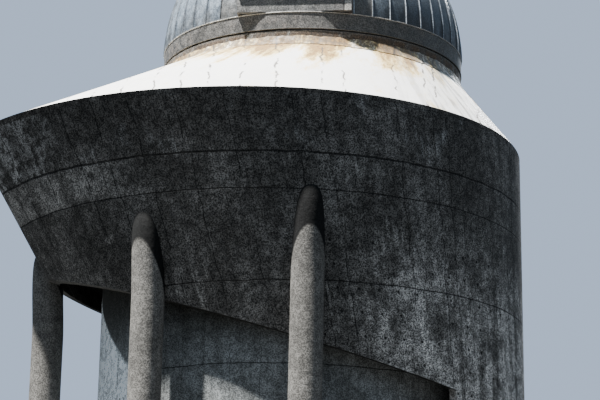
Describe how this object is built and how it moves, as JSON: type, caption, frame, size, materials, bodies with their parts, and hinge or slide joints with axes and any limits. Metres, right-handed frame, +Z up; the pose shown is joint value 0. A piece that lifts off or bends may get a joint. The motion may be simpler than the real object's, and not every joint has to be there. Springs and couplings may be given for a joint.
{
  "type": "observatory",
  "caption": "Concrete observatory: a flared shell with a slanting lower edge on round columns around a drum, a white cone roof and a ribbed metal dome that turns.",
  "frame": {"origin": "on the ground under the dome's vertical axis, on the floor slab's underside", "axes": "+Z up along the dome's axis; the side seen in the picture, with the slit, faces -Y; +X to the right as seen from there"},
  "size_m": [14.4704, 13.2218, 16.2092],
  "materials": {
    "shell concrete": "dark weathered board-marked concrete",
    "rim concrete": "darker stained concrete",
    "column concrete": "light grey weathered concrete",
    "drum concrete": "light grey cracked concrete",
    "roof paint": "white painted concrete with rust stains",
    "dome metal": "weathered sheet metal",
    "shutter metal": "weathered sheet metal",
    "rail steel": "dull worn steel",
    "curb steel": "rust-stained paint",
    "door paint": "satin grey paint"
  },
  "bodies": {
    "building": {"ground_floor": "drum concrete", "drum_wall_1": "drum concrete", "drum_wall_2": "drum concrete", "drum_wall_3": "drum concrete", "drum_wall_4": "drum concrete", "door_lintel": "drum concrete", "door_frame": "door paint", "door_leaf": "door paint", "column_1": "column concrete", "column_2": "column concrete", "column_3": "column concrete", "column_4": "column concrete", "column_5": "column concrete", "column_6": "column concrete", "flare_wall_1": "shell concrete", "flare_wall_2": "shell concrete", "flare_wall_3": "shell concrete", "flare_wall_4": "shell concrete", "flare_wall_5": "shell concrete", "flare_wall_6": "shell concrete", "flare_wall_7": "shell concrete", "flare_wall_8": "shell concrete", "rim_wall_1": "rim concrete", "rim_wall_2": "rim concrete", "rim_wall_3": "rim concrete", "rim_wall_4": "rim concrete", "roof_slab_1": "roof paint", "roof_slab_2": "roof paint", "roof_slab_3": "roof paint", "roof_slab_4": "roof paint", "gallery_slab_1": "shell concrete", "gallery_slab_2": "shell concrete", "dome_curb": "curb steel", "dome_rail": "rail steel"},
    "dome": {"dome_skirt": "dome metal", "dome_skin_left_1": "dome metal", "dome_skin_left_2": "dome metal", "dome_skin_left_3": "dome metal", "dome_skin_right_1": "dome metal", "dome_skin_right_2": "dome metal", "dome_skin_right_3": "dome metal", "dome_skin_back": "dome metal", "slit_rail_left": "rail steel", "slit_rail_right": "rail steel"},
    "shutter": {"shutter_cover": "shutter metal", "shutter_cheek_left": "shutter metal", "shutter_cheek_right": "shutter metal", "shutter_apron": "shutter metal", "shutter_end": "shutter metal"}
  },
  "joints": [
    {"name": "dome_turn", "type": "hinge", "parent": "building", "child": "dome", "pos_m": [0, 0, 12.15], "axis": [0, 0, 1], "continuous": true},
    {"name": "shutter_lift", "type": "hinge", "parent": "dome", "child": "shutter", "pos_m": [0, 0, 12.15], "axis": [-0.9912, 0.1323, 0], "range_deg": [0, 74]}
  ]
}
